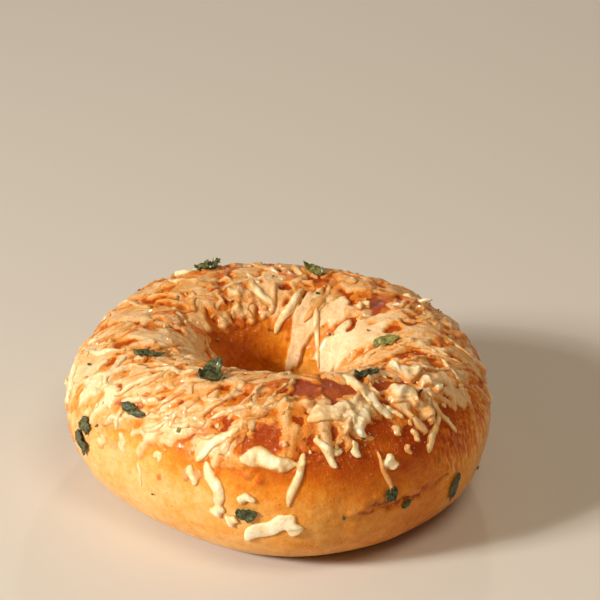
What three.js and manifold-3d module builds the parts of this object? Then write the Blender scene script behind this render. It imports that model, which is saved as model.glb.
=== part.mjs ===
/*
 * A bagel baked with grated cheese and a little green herb on its crust.
 *
 * It is one solid: a ring of dough, flat where it lay on the tray, with the cheese that melted onto it.
 * The cheese is in long shreds that softened where they fell, in sheets where many ran together, and in
 * round lumps. The herb is in small crumpled leaves.
 *
 * Millimetres, +Z up. The origin is on the flat underside, under the middle of the bagel. A place on the
 * crust has two angles, in degrees:
 *   around  0 at +X, 90 at +Y, counter-clockwise seen from above
 *   over    0 at the widest line outside, 90 on the crest, 180 at the waist of the hole, 270 underneath
 * A heading is an angle on the crust: 0 runs along "around", 90 runs along "over".
 */

import * as THREE from 'three';
import { mergeVertices } from 'three/addons/utils/BufferGeometryUtils.js';
import Module from 'manifold-3d';

// The ring of dough.
const OUTER_RADIUS = 55;      // middle of the hole to the outside of the crust
const HOLE_RADIUS = 15;       // at the waist of the hole, its narrowest line
const ROLL_RADIUS = 34.4;     // middle of the hole to the middle of the roll of dough
const HEIGHT = 39.4;          // mean height of the crest
const WAIST_HEIGHT = 22;      // height of the widest line, and of the waist of the hole
const BASE_SINK = 1.6;        // how far the round underside would reach below the tray
const BASE_FULLNESS = 0.85;   // under 1, the underside bulges more than an ellipse does
const CENTRE = { x: 0.8, y: 2.2 };  // puts the middle of the uneven ring's box on the origin

// How uneven the ring is: [waves around, size in mm, where a wave is highest].
const OUTER_WAVES = [[2, 1.6, -43], [3, 1.1, 39], [4, 1.0, 30], [5, 1.2, -22]];
const HEIGHT_WAVES = [[1, 1.0, -111], [2, 1.8, -88]];

// The faces that the ring is made of.
const RING_STEPS_AROUND = 64;
const RING_STEPS_OVER = 26;

// Cheese shreds, from a grater: sizes in mm.
const SHRED_COUNT = 62;
const SHRED_LENGTH = { longest: 17, shortest: 8 };
const SHRED_WIDTH = { widest: 2.6, narrowest: 1.9 };
const SHRED_RISE = 0.95;      // how far a shred stands out of the crust
const SHRED_SUNK = 0.6;       // how far its underside is buried
const SHRED_BEND = 50;        // most that a shred turns from end to end, in degrees
const SHRED_ZONE = { lowest: 8, highest: 158 };   // "over" angles that the shreds reach
const SHRED_FALL = { none: 0, full: 60, fading: 125, gone: 175 };   // how thickly they fell there
const CREST = { from: 60, to: 120 };              // "over" angles where the crust is nearly level
const CREST_HEADING = { mean: 40, spread: 200 };  // shreds lie all ways on the crest
const SLOPE_HEADING = { mean: -90, spread: 110 }; // and sank down the slopes
const EVEN_SPREAD = [0.7548776662, 0.569840291];  // steps that fill a plane evenly, without rows
const ROUTE_STEPS = 8;        // straight steps in the middle line of a shred
const SHRED_ROWS = 4;
const SHRED_SECTION = 4;      // corners of a shred's section, a trapezium that is widest under the crust
const SHRED_SHOULDER = 0.6;   // width of its top, as a part of the width of its foot
const END_ROUNDNESS = 0.5;    // under 1, a shred's ends are blunter than a sphere's

// Single shreds that lie apart, where they are seen best:
// around, over, heading, length, width and bend.
const LONE_SHREDS = [
  { around: 274, over: 19, heading: -108, length: 14.0, width: 2.4, bend: 8 },
  { around: 282, over: 37, heading: -61, length: 9.0, width: 2.2, bend: -6 },
  { around: 253, over: 8, heading: -62, length: 11.0, width: 3.4, bend: -30 },
  { around: 297, over: 17, heading: -76, length: 12.0, width: 1.5, bend: 10 },
  { around: 315, over: 34, heading: -140, length: 11.5, width: 1.9, bend: 14 },
  { around: 323, over: 44, heading: -85, length: 13.0, width: 1.7, bend: 34 },
  { around: 297, over: 76, heading: -75, length: 18.5, width: 3.2, bend: 24 },
  { around: 252, over: 36, heading: 46, length: 15.0, width: 2.2, bend: -8 },
  { around: 85, over: 145, heading: 73, length: 11.0, width: 2.4, bend: -12 },
  { around: 112, over: 118, heading: 99, length: 11.0, width: 2.8, bend: 10 },
  { around: 50, over: 149, heading: 126, length: 18.0, width: 1.8, bend: -12 },
  { around: 246, over: 8, heading: -62, length: 5.5, width: 2.4, bend: 0 },
  { around: 292, over: 43, heading: -86, length: 4.5, width: 2.4, bend: 0 },
];

// Thick pieces that kept their shape.
const CHUNKS = [
  { around: 268, over: -13, heading: 32, length: 15.5, width: 5.2, bend: 34 },
  { around: 266, over: 31, heading: -4, length: 15.0, width: 4.4, bend: -14 },
  { around: 255, over: -10, heading: 30, length: 5.0, width: 3.6, bend: 0 },
  { around: 299, over: 24, heading: -73, length: 4.2, width: 3.2, bend: 0 },
  { around: 329, over: 87, heading: -50, length: 12.0, width: 7.0, bend: 0 },
  { around: 324, over: 65, heading: -28, length: 9.5, width: 5.6, bend: 0 },
  { around: 124, over: 126, heading: 148, length: 6.0, width: 4.2, bend: 0 },
  { around: 139, over: 134, heading: 135, length: 4.6, width: 3.2, bend: 0 },
  { around: 124, over: 60, heading: 161, length: 7.5, width: 2.8, bend: 10 },
  { around: 37, over: 62, heading: -10, length: 6.0, width: 3.0, bend: 0 },
];
const CHUNK_RISE = 1.5;
const CHUNK_SUNK = 0.9;

// Sheets, where the cheese ran together: around, over, heading of the long way, length and width.
const SHEETS = [
  { around: 190, over: 92, heading: 40, length: 24, width: 15 },
  { around: 206, over: 46, heading: 62, length: 20, width: 14 },
  { around: 168, over: 112, heading: 60, length: 20, width: 11 },
  { around: 250, over: 88, heading: 8, length: 24, width: 9 },
  { around: 288, over: 58, heading: -20, length: 15, width: 8 },
  { around: 308, over: 62, heading: -38, length: 14, width: 9 },
  { around: 40, over: 118, heading: 100, length: 24, width: 15 },
  { around: 12, over: 128, heading: 80, length: 20, width: 12 },
  { around: 66, over: 132, heading: 85, length: 20, width: 8 },
  { around: 100, over: 100, heading: 20, length: 18, width: 10 },
  { around: 146, over: 78, heading: 30, length: 17, width: 9 },
  { around: 352, over: 66, heading: -60, length: 16, width: 10 },
  { around: 232, over: 58, heading: 40, length: 15, width: 9 },
  { around: 20, over: 66, heading: 70, length: 15, width: 8 },
];
const SHEET_RISE = 0.75;
const SHEET_SUNK = 0.7;
const SHEET_SIDES = 12;
const SHEET_ROWS = 3;
const SHEET_RAGGEDNESS = 0.14;   // how far the edge wanders, as a part of the width

// Herb leaves: around, over, heading of the long way, length, width, and how far they stand up.
const LEAVES = [
  { around: 206, over: 3, heading: -78, length: 8.0, width: 3.6, rise: 0.9 },
  { around: 220, over: 40, heading: -25, length: 5.6, width: 2.4, rise: 0.7 },
  { around: 201, over: 83, heading: -28, length: 7.4, width: 2.8, rise: 0.8 },
  { around: 240, over: 92, heading: -70, length: 6.4, width: 5.4, rise: 1.7 },
  { around: 118, over: 68, heading: 15, length: 8.6, width: 4.2, rise: 2.4 },
  { around: 79, over: 80, heading: -50, length: 8.0, width: 2.4, rise: 1.7 },
  { around: 4, over: 112, heading: -95, length: 6.6, width: 2.8, rise: 1.0 },
  { around: 312, over: 97, heading: 20, length: 7.4, width: 2.8, rise: 1.1 },
  { around: 262, over: -6, heading: 10, length: 5.4, width: 3.6, rise: 0.8 },
  { around: 298, over: 3, heading: 30, length: 3.0, width: 2.2, rise: 0.6 },
  { around: 318, over: -9, heading: -70, length: 7.6, width: 2.6, rise: 0.7 },
  { around: 55, over: 28, heading: -30, length: 6.0, width: 3.2, rise: 0.8 },
  { around: 152, over: 38, heading: 65, length: 6.4, width: 3.0, rise: 0.8 },
];
const LEAF_SUNK = 0.7;           // how far its underside is buried
const LEAF_CRUMPLE = 0.3;        // how far its face waves up and down
const LEAF_WAVES = { wide: 7, long: 9 };   // how closely, in radians over its width and its length
const LEAF_TAPER = 0.5;          // how much narrower its tip is than its stem end
const LEAF_BEND = 20;
const LEAF_CELLS = { long: 3, wide: 2 };

const DRAW_SEED = 20;            // the start of the random draws, so that every run gives this bagel

const wasm = await Module();
wasm.setup();

const radians = THREE.MathUtils.degToRad;

/* Even but irregular draws between 0 and 1, the same in every run. */
function drawsFrom(seed) {
  let state = seed >>> 0;
  return () => {
    state = (Math.imul(state, 1664525) + 1013904223) >>> 0;
    return state / 4294967296;
  };
}

/* The sum of a list of waves at an angle around the ring. */
function waves(list, around) {
  return list.reduce((sum, [count, size, peak]) => sum + size * Math.cos(count * radians(around - peak)), 0);
}

/* The point of the bare crust at two angles. */
function crustPoint(around, over) {
  const out = Math.cos(radians(over));
  const up = Math.sin(radians(over));
  const outer = OUTER_RADIUS + waves(OUTER_WAVES, around);
  const height = HEIGHT + waves(HEIGHT_WAVES, around);
  const radius = ROLL_RADIUS + out * (out > 0 ? outer - ROLL_RADIUS : ROLL_RADIUS - HOLE_RADIUS);
  const under = (WAIST_HEIGHT + BASE_SINK) * Math.pow(Math.abs(up), BASE_FULLNESS);
  const z = up > 0 ? WAIST_HEIGHT + up * (height - WAIST_HEIGHT) : Math.max(WAIST_HEIGHT - under, 0);
  return new THREE.Vector3(
    CENTRE.x + radius * Math.cos(radians(around)),
    CENTRE.y + radius * Math.sin(radians(around)),
    z,
  );
}

/* Where the crust runs at a place: its millimetres per degree both ways, and its directions. */
function crustFrame(around, over) {
  const step = 0.05;
  const along = crustPoint(around + step, over).sub(crustPoint(around - step, over));
  const across = crustPoint(around, over + step).sub(crustPoint(around, over - step));
  const aroundPace = along.length() / (2 * step);
  const overPace = across.length() / (2 * step);
  along.normalize();
  const normal = along.clone().cross(across).normalize();
  return { aroundPace, overPace, along, across: normal.clone().cross(along), normal };
}

/* The place that lies a distance away over the crust, along a heading. */
function walk(place, heading, distance) {
  const { aroundPace, overPace } = crustFrame(place.around, place.over);
  return {
    around: place.around + (distance * Math.cos(radians(heading))) / aroundPace,
    over: place.over + (distance * Math.sin(radians(heading))) / overPace,
  };
}

/* A bent route over the crust, with its middle at the piece's place. */
function route(piece, steps) {
  const stride = piece.length / steps;
  const half = steps / 2;
  const turn = piece.bend / steps;
  const places = [{ around: piece.around, over: piece.over, heading: piece.heading }];
  for (let i = 0; i < half; i += 1) {
    const last = places.at(-1);
    const heading = last.heading + turn;
    places.push({ ...walk(last, heading, stride), heading });
  }
  for (let i = 0; i < half; i += 1) {
    const [first] = places;
    const heading = first.heading - turn;
    places.unshift({ ...walk(first, heading, -stride), heading });
  }
  return places;
}

/* The point at a part, 0 to 1, of a route, moved sideways and away from the crust. */
function pointOnRoute(places, part, side, lift) {
  const at = THREE.MathUtils.clamp(part, 0, 1) * (places.length - 1);
  const before = Math.min(Math.floor(at), places.length - 2);
  const mix = at - before;
  const [from, to] = [places[before], places[before + 1]];
  const heading = THREE.MathUtils.lerp(from.heading, to.heading, mix);
  const middle = {
    around: THREE.MathUtils.lerp(from.around, to.around, mix),
    over: THREE.MathUtils.lerp(from.over, to.over, mix),
  };
  const place = walk(middle, heading - 90, side);
  const { normal } = crustFrame(place.around, place.over);
  return crustPoint(place.around, place.over).addScaledVector(normal, lift);
}

/* Moves every point of a geometry with a function, then merges the points that meet. */
function reshape(geometry, move) {
  const position = geometry.getAttribute('position');
  const point = new THREE.Vector3();
  for (let i = 0; i < position.count; i += 1) {
    point.fromBufferAttribute(position, i);
    const moved = move(point);
    position.setXYZ(i, moved.x, moved.y, moved.z);
  }
  geometry.deleteAttribute('normal');
  geometry.deleteAttribute('uv');
  return mergeVertices(geometry);
}

/* The ring of dough: a torus drawn out to the crust. */
function ring() {
  const torus = new THREE.TorusGeometry(ROLL_RADIUS, HOLE_RADIUS, RING_STEPS_OVER, RING_STEPS_AROUND);
  return reshape(torus, (point) => {
    const reach = Math.hypot(point.x, point.y) - ROLL_RADIUS;
    const around = THREE.MathUtils.radToDeg(Math.atan2(point.y, point.x));
    const over = THREE.MathUtils.radToDeg(Math.atan2(point.z, reach));
    return crustPoint(around, over);
  });
}

/* A shred or a chunk: a sphere drawn out along its route, with blunt ends and a buried underside. */
function drawnOut(piece, rise, sunk) {
  const places = route(piece, ROUTE_STEPS);
  const sphere = new THREE.SphereGeometry(1, SHRED_SECTION, SHRED_ROWS, Math.PI / SHRED_SECTION);
  return reshape(sphere, (point) => {
    const fullness = Math.pow(Math.hypot(point.x, point.z), END_ROUNDNESS);
    const onTop = point.z > 0;
    const side = Math.sign(point.x) * fullness * (piece.width / 2) * (onTop ? SHRED_SHOULDER : 1);
    const lift = onTop ? fullness * rise : -sunk;
    return pointOnRoute(places, (point.y + 1) / 2, side, lift);
  });
}

/* A melted sheet: a flattened sphere with a wandering edge, laid on the crust. */
function sheet(piece, draw) {
  const waveAngles = [draw() * 360, draw() * 360, draw() * 360];
  const sphere = new THREE.SphereGeometry(1, SHEET_SIDES, SHEET_ROWS);
  return reshape(sphere, (point) => {
    const spread = Math.hypot(point.x, point.z);
    const angle = Math.atan2(point.x, point.z);
    const wander = waveAngles.reduce(
      (sum, start, i) => sum + SHEET_RAGGEDNESS * Math.cos((i + 2) * angle + radians(start)),
      1,
    );
    const long = (spread * Math.cos(angle) * wander * piece.length) / 2;
    const wide = (spread * Math.sin(angle) * wander * piece.width) / 2;
    const heading = piece.heading + THREE.MathUtils.radToDeg(Math.atan2(wide, long));
    const place = walk(piece, heading, Math.hypot(long, wide));
    const { normal } = crustFrame(place.around, place.over);
    const lift = point.y > 0.1 ? point.y * SHEET_RISE : -SHEET_SUNK;
    return crustPoint(place.around, place.over).addScaledVector(normal, lift);
  });
}

/* A herb leaf: a thin wavy plate, its middle in the cheese and its edges standing out. */
function leaf(piece, draw) {
  const start = draw() * 360;
  const places = route({ ...piece, bend: LEAF_BEND }, ROUTE_STEPS);
  const plate = new THREE.BoxGeometry(1, 1, 1, LEAF_CELLS.wide, LEAF_CELLS.long, 1);
  return reshape(plate, (point) => {
    const side = point.x * piece.width * (1 - LEAF_TAPER * point.y);
    const phase = radians(start) + LEAF_WAVES.wide * point.x + LEAF_WAVES.long * point.y;
    const wave = LEAF_CRUMPLE * Math.sin(phase);
    const lift = point.z > 0 ? piece.rise + wave : -LEAF_SUNK;
    return pointOnRoute(places, point.y + 0.5, side, lift);
  });
}

/* How thickly the shreds fell at a place, 0 to 1: most on the crest, fewest low on the outside. */
function fallOfShreds(over) {
  const outside = THREE.MathUtils.smoothstep(over, SHRED_FALL.none, SHRED_FALL.full);
  const inside = 1 - THREE.MathUtils.smoothstep(over, SHRED_FALL.fading, SHRED_FALL.gone);
  return outside * inside;
}

/* The shreds that lie all over the top, the longest first, spread evenly and turned at random. */
function scatteredShreds(draw) {
  const shreds = [];
  for (let i = 1; shreds.length < SHRED_COUNT; i += 1) {
    const around = 360 * ((i * EVEN_SPREAD[0]) % 1);
    const spread = (i * EVEN_SPREAD[1]) % 1;
    const over = THREE.MathUtils.lerp(SHRED_ZONE.lowest, SHRED_ZONE.highest, spread);
    const crust = crustPoint(around, over);
    const share = Math.hypot(crust.x, crust.y) / OUTER_RADIUS;
    if (draw() < share * fallOfShreds(over)) {
      const size = 1 - shreds.length / SHRED_COUNT;
      const lie = over > CREST.from && over < CREST.to ? CREST_HEADING : SLOPE_HEADING;
      shreds.push({
        around,
        over,
        heading: lie.mean + lie.spread * (draw() - 0.5),
        length: THREE.MathUtils.lerp(SHRED_LENGTH.shortest, SHRED_LENGTH.longest, size),
        width: THREE.MathUtils.lerp(SHRED_WIDTH.narrowest, SHRED_WIDTH.widest, draw()),
        bend: SHRED_BEND * (2 * draw() - 1),
      });
    }
  }
  return shreds;
}

/* A closed geometry as a solid that can be joined, and back. */
function toSolid(geometry) {
  const vertProperties = new Float32Array(geometry.getAttribute('position').array);
  const triVerts = new Uint32Array(geometry.getIndex().array);
  return new wasm.Manifold(new wasm.Mesh({ numProp: 3, vertProperties, triVerts }));
}

function toGeometry(solid) {
  const { vertProperties, triVerts } = solid.getMesh();
  const geometry = new THREE.BufferGeometry();
  geometry.setAttribute('position', new THREE.BufferAttribute(vertProperties, 3));
  geometry.setIndex(new THREE.BufferAttribute(triVerts, 1));
  geometry.computeVertexNormals();
  return geometry;
}

/* The whole bagel: the ring with every topping fused to it. */
function bagel() {
  const draw = drawsFrom(DRAW_SEED);
  const shreds = [...LONE_SHREDS, ...scatteredShreds(draw)];
  const toppings = [
    ...shreds.map((piece) => drawnOut(piece, SHRED_RISE, SHRED_SUNK)),
    ...CHUNKS.map((piece) => drawnOut(piece, CHUNK_RISE, CHUNK_SUNK)),
    ...SHEETS.map((piece) => sheet(piece, draw)),
    ...LEAVES.map((piece) => leaf(piece, draw)),
  ];
  return toGeometry(toppings.reduce((body, piece) => body.add(toSolid(piece)), toSolid(ring())));
}

const bakedCrust = new THREE.MeshStandardMaterial({ color: 0xd98f45, roughness: 0.45, metalness: 0 });

const model = new THREE.Group();
const bagelMesh = new THREE.Mesh(bagel(), bakedCrust);
bagelMesh.name = 'bagel';
model.add(bagelMesh);

export default model;
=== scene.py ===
# %% [markdown]
# # A bagel baked with cheese and herb
#
# This lesson dresses one bagel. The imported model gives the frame: a ring of bread with its toppings fused on,
# at its real size, in metres, standing on z = 0. Here the same form is made again with a fine surface: the
# bread first, then the cheese that melted onto it, then the herb, and last the light.
# %% Load the frame
import math

import bmesh
import bpy
import numpy as np
from mathutils import Matrix, Vector, noise
from mathutils.bvhtree import BVHTree
from mathutils.kdtree import KDTree


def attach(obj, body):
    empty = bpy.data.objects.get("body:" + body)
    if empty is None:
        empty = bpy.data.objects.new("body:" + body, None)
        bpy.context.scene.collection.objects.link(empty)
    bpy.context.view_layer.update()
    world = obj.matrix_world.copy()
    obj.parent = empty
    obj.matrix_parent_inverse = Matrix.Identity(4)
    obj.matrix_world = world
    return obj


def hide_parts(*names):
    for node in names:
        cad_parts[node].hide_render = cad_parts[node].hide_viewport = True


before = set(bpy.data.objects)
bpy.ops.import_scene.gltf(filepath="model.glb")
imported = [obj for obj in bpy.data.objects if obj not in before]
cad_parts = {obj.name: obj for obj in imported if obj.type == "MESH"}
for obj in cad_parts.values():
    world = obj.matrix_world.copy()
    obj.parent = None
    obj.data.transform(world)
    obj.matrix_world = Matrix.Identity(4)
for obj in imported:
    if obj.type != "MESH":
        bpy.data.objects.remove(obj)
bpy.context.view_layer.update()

MM = 0.001

# %% [markdown]
# ## The camera
#
# The photograph was taken from the front, 28 degrees above the table, from well back with a long lens. The
# bagel lies low in the frame. The camera is turned to put it there, as a photographer would, and is not
# shifted.
# %% The camera
IMAGE_SIDE = 600                       # pixels of the square image
CAMERA_HEIGHT = math.radians(28.3)     # above the table, seen from the bagel
CAMERA_DISTANCE = 619 * MM
CAMERA_ROLL = math.radians(1.2)
FOCAL_LENGTH = 2376                    # in pixels
AIM = Vector((0.8, 2.2, 21)) * MM      # the middle of the ring
AIM_PIXEL = (283.7, 397.7)             # where the middle of the ring lies in the image


def place_camera():
    """A camera behind its target, turned so that the target comes to its pixel, then rolled."""
    back = Vector((0, -math.cos(CAMERA_HEIGHT), math.sin(CAMERA_HEIGHT)))
    right = Vector((1, 0, 0))
    turn = Matrix((right, back.cross(right), back)).transposed()
    yaw = math.atan((AIM_PIXEL[0] - IMAGE_SIDE / 2) / FOCAL_LENGTH)
    pitch = math.atan((AIM_PIXEL[1] - IMAGE_SIDE / 2) / FOCAL_LENGTH)
    turn = turn @ Matrix.Rotation(yaw, 3, "Y") @ Matrix.Rotation(pitch, 3, "X")
    turn = turn @ Matrix.Rotation(CAMERA_ROLL, 3, "Z")
    lens = bpy.data.cameras.new("camera")
    lens.sensor_width = 36
    lens.lens = lens.sensor_width * FOCAL_LENGTH / IMAGE_SIDE
    lens.clip_start = 0.01
    camera = bpy.data.objects.new("camera", lens)
    camera.matrix_world = Matrix.Translation(AIM + back * CAMERA_DISTANCE) @ turn.to_4x4()
    bpy.context.collection.objects.link(camera)
    return camera


bpy.context.scene.camera = place_camera()
print("lens", round(bpy.context.scene.camera.data.lens, 1), "mm")

# %% [markdown]
# ## The form of the crust
#
# Everything on the bagel lies on its crust, so the crust is a function: two angles give a point. `around`
# runs round the ring, 0 at +X and 90 at the back. `over` runs round the roll of dough, 0 at the widest line
# outside, 90 on the crest and 180 at the waist of the hole. The sizes are those of the solid, in millimetres.
# %% The crust as a function
OUTER_RADIUS = 55.0
HOLE_RADIUS = 15.0
ROLL_RADIUS = 34.4
HEIGHT = 39.4
WAIST_HEIGHT = 22.0
BASE_SINK = 1.6
BASE_FULLNESS = 0.85
CENTRE = (0.8, 2.2)
OUTER_WAVES = ((2, 1.6, -43), (3, 1.1, 39), (4, 1.0, 30), (5, 1.2, -22))
HEIGHT_WAVES = ((1, 1.0, -111), (2, 1.8, -88))
SLOPE_STEP = 0.05              # degrees each way, to measure how the crust slopes


def waves(terms, around):
    """The sum of waves round the ring, each with its count, its size and where it is highest."""
    return sum(size * np.cos(count * np.radians(around - peak)) for count, size, peak in terms)


def bare_crust(around, over):
    """Points of the crust, in millimetres, for arrays of angles in degrees."""
    out = np.cos(np.radians(over))
    up = np.sin(np.radians(over))
    outer = OUTER_RADIUS + waves(OUTER_WAVES, around)
    height = HEIGHT + waves(HEIGHT_WAVES, around)
    radius = ROLL_RADIUS + out * np.where(out > 0, outer - ROLL_RADIUS, ROLL_RADIUS - HOLE_RADIUS)
    under = (WAIST_HEIGHT + BASE_SINK) * np.abs(up) ** BASE_FULLNESS
    z = np.where(up > 0, WAIST_HEIGHT + up * (height - WAIST_HEIGHT), np.maximum(WAIST_HEIGHT - under, 0))
    x = CENTRE[0] + radius * np.cos(np.radians(around))
    y = CENTRE[1] + radius * np.sin(np.radians(around))
    return np.stack([x, y, z], axis=-1)


def crust_frame(around, over):
    """The steps for one degree both ways, and the outward direction, at places on the crust."""
    step = SLOPE_STEP
    along = (bare_crust(around + step, over) - bare_crust(around - step, over)) / (2 * step)
    across = (bare_crust(around, over + step) - bare_crust(around, over - step)) / (2 * step)
    normal = np.cross(along, across)
    normal /= np.linalg.norm(normal, axis=-1, keepdims=True)
    return along, across, normal


def walk(around, over, heading, distance):
    """Where a walk over the crust ends. Heading 0 runs along `around`, 90 along `over`."""
    along, across, _ = crust_frame(around, over)
    return (
        around + distance * np.cos(np.radians(heading)) / np.linalg.norm(along, axis=-1),
        over + distance * np.sin(np.radians(heading)) / np.linalg.norm(across, axis=-1),
    )


print("the crest at the front lies at", bare_crust(270, 90).round(1), "mm")

# %% [markdown]
# ## Helpers for modelling
#
# An operator in Blender works on what is selected, so each step first selects one object and nothing else. A
# modifier is added, set and applied in one go, which leaves plain geometry behind.
# %% Helpers for modelling
def select_only(piece):
    """Makes one object the selected and active one."""
    bpy.ops.object.select_all(action="DESELECT")
    piece.select_set(True)
    bpy.context.view_layer.objects.active = piece


def apply_modifier(piece, kind, **settings):
    """Adds a modifier, sets it and applies it."""
    select_only(piece)
    modifier = piece.modifiers.new(kind.title(), kind)
    for name, value in settings.items():
        setattr(modifier, name, value)
    bpy.ops.object.modifier_apply(modifier=modifier.name)


def points_of(piece):
    """The points of an object's mesh as an array, in the mesh's own unit."""
    flat = np.empty(3 * len(piece.data.vertices), dtype=np.float32)
    piece.data.vertices.foreach_get("co", flat)
    return flat.reshape(-1, 3).astype(float)


def paint(piece, name, values):
    """Stores one number for each point, for a material to read."""
    attribute = piece.data.attributes.new(name, "FLOAT", "POINT")
    attribute.data.foreach_set("value", np.asarray(values, dtype=np.float32))


def take_over(piece):
    """The shape of a template as arrays; the template itself is removed."""
    points = points_of(piece)
    faces = [list(face.vertices) for face in piece.data.polygons]
    bpy.data.objects.remove(piece)
    return points, faces


def join_copies(name, copies, faces):
    """One object from copies of a template: copies holds the points of each, in millimetres."""
    count, each, _ = copies.shape
    mesh = bpy.data.meshes.new(name)
    all_faces = [[index + each * copy for index in face] for copy in range(count) for face in faces]
    mesh.from_pydata((copies.reshape(-1, 3) * MM).tolist(), [], all_faces)
    piece = bpy.data.objects.new(name, mesh)
    bpy.context.collection.objects.link(piece)
    return piece


def smoothstep(value, low, high):
    """0 below low, 1 above high, and a soft rise between them."""
    part = np.clip((value - low) / (high - low), 0, 1)
    return part * part * (3 - 2 * part)


def between(value, start, end):
    """1 between a start and an end, with a soft rise and fall."""
    return smoothstep(value, *start) * (1 - smoothstep(value, *end))


def mixed(pair, part):
    """A value between the two of a pair."""
    return pair[0] + (pair[1] - pair[0]) * part


def draws_from(seed):
    """Even but irregular draws between 0 and 1, the same in every run."""
    state = seed
    while True:
        state = (state * 1664525 + 1013904223) & 0xFFFFFFFF
        yield state / 4294967296


def clouds(places, size, shift=0.0):
    """Smooth noise around 0, mostly within half of 1, whose lumps are that many millimetres across."""
    offset = Vector((shift, 0, 0))
    flat = places.reshape(-1, 3) / size
    return np.array([noise.noise(Vector(place) + offset) for place in flat]).reshape(places.shape[:-1])


# %% [markdown]
# ## The relief of the dough
#
# Dough is never even. Slow lumps come from shaping it by hand, small blisters from baking, and low on the
# front right a fold of dough opened into a short crack. These are heights in millimetres, added to the crust.
# They fade out near the table, where the dough lay flat on the tray.
# %% The relief of the dough
DOUGH_LUMPS = ((17.0, 0.9), (7.0, 0.3), (2.6, 0.10))     # how far across and how high
BLISTERS = (1.5, 0.32)
BLISTER_ZONE = (35, 60)        # "over" angles between which they begin
TRAY_FADE = (0.5, 7.0)         # heights between which the relief comes in
CRACK = (                      # around and over
    (291, -6), (295, -3.5), (298, -5.5), (301, -4), (305, -5), (309, -3.5), (312, -4), (316, -2),
)
CRACK_STEPS = 60
CRACK_DEPTH = 1.0
CRACK_UNEVENNESS = (1.6, 1.2)
CRACK_WIDTH = 1.0
CRACK_RAGGED = ((2.2, 1.6), (0.9, 0.9))                  # size of the raggedness and its reach
CRACK_NEARBY = 6
LIP_RISE = 0.55
LIP_REACH = 1.9


def crack_distance(around, over, places):
    """Distance from the crack in millimetres, negative below it."""
    path = np.array(CRACK, dtype=float)
    fine = np.linspace(path[0, 0], path[-1, 0], CRACK_STEPS)
    distance = np.full(around.shape, 1e3)
    for point in bare_crust(fine, np.interp(fine, path[:, 0], path[:, 1])):
        distance = np.minimum(distance, np.linalg.norm(places - point, axis=-1))
    side = np.sign(over - np.interp(around % 360, path[:, 0], path[:, 1]))
    near = distance < CRACK_NEARBY
    ragged = np.zeros(distance.shape)
    ragged[near] = sum(reach * clouds(places[near], size, 13.0) for size, reach in CRACK_RAGGED)
    return distance * side + ragged


def dough_relief(around, over, places):
    """Height of the dough above the plain crust."""
    height = sum(rise * clouds(places, size) for size, rise in DOUGH_LUMPS)
    blisters = np.maximum(clouds(places, BLISTERS[0], 5.0), 0) * smoothstep(over, *BLISTER_ZONE)
    distance = crack_distance(around, over, places)
    depth = CRACK_DEPTH * (1 + CRACK_UNEVENNESS[1] * clouds(places, CRACK_UNEVENNESS[0], 17.0))
    groove = depth * np.exp(-(distance / CRACK_WIDTH) ** 2)
    lip = LIP_RISE * np.exp(-((distance - LIP_REACH) / LIP_REACH) ** 2)
    return (height + BLISTERS[1] * blisters - groove + lip) * smoothstep(places[..., 2], *TRAY_FADE)


# %% [markdown]
# ## A map of the crust
#
# What covers the crust is worked out once on a fine map, as a flat array of `around` by `over`. The value
# between the cells of the map is mixed from the four cells nearest to it.
# %% A map of the crust
MAP_STEP = (0.25, 0.4)         # degrees around and over
MAP_OVER = (-12.0, 188.0)
MAP_PLACES = bare_crust(np.arange(0, 360, MAP_STEP[0])[None, :], np.arange(*MAP_OVER, MAP_STEP[1])[:, None])


def on_map(values, around, over):
    """The value of a map at places between its cells."""
    sideways = (np.asarray(around) % 360) / MAP_STEP[0]
    row = np.clip((np.asarray(over) - MAP_OVER[0]) / MAP_STEP[1], 0, len(values) - 1.001)
    left = np.floor(sideways).astype(int) % values.shape[1]
    right = (left + 1) % values.shape[1]
    low = np.floor(row).astype(int)
    beside = sideways - np.floor(sideways)
    above = row - low
    bottom = values[low, left] * (1 - beside) + values[low, right] * beside
    top = values[low + 1, left] * (1 - beside) + values[low + 1, right] * beside
    return bottom * (1 - above) + top * above


print("the map has", MAP_PLACES.shape[0], "rows of", MAP_PLACES.shape[1], "cells")

# %% [markdown]
# ## The film of melted cheese
#
# Most of the cheese melted into a thin skin on the crust. It ends in a ragged line low on the outside and
# down in the hole, and it has gaps through which the dark, glossy crust shows. Where a lot of cheese lay it
# ran into thicker sheets. The film is worked out as one number at each place, from 0 for bare crust to 1 for
# a full skin, so that the bread can carry it as relief and as colour, and the shreds can lie on top of it.
# %% The film of melted cheese
FILM_LOW = (14, ((1, 24, 320), (2, 4, 280)))   # "over" of its lower edge: the mean and its waves
FILM_HIGH = (140, ((1, 20, 40),))              # and of its edge in the hole
FILM_EDGE = 5                                  # degrees over which it thins out
FILM_RAGGED = ((8.0, 26), (2.5, 14))           # size in millimetres, reach in degrees
FILM_GAPS = ((6.0, 0.6), (2.2, 0.7))
GAP_LEVEL = (0, ((1, 0.14, 0),))               # higher on the right: more gaps
GAP_EDGE = (-0.16, 0.04)
SHEET_RAGGEDNESS = 0.2
SHEET_WAVES = (2, 3, 4, 6, 9)
SHEET_EDGE = (0.72, 1.04)
SHEET_SEED = 5
SHEET_DEPTH = 8.0              # a sheet does not act on crust further than this from its plane
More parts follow.
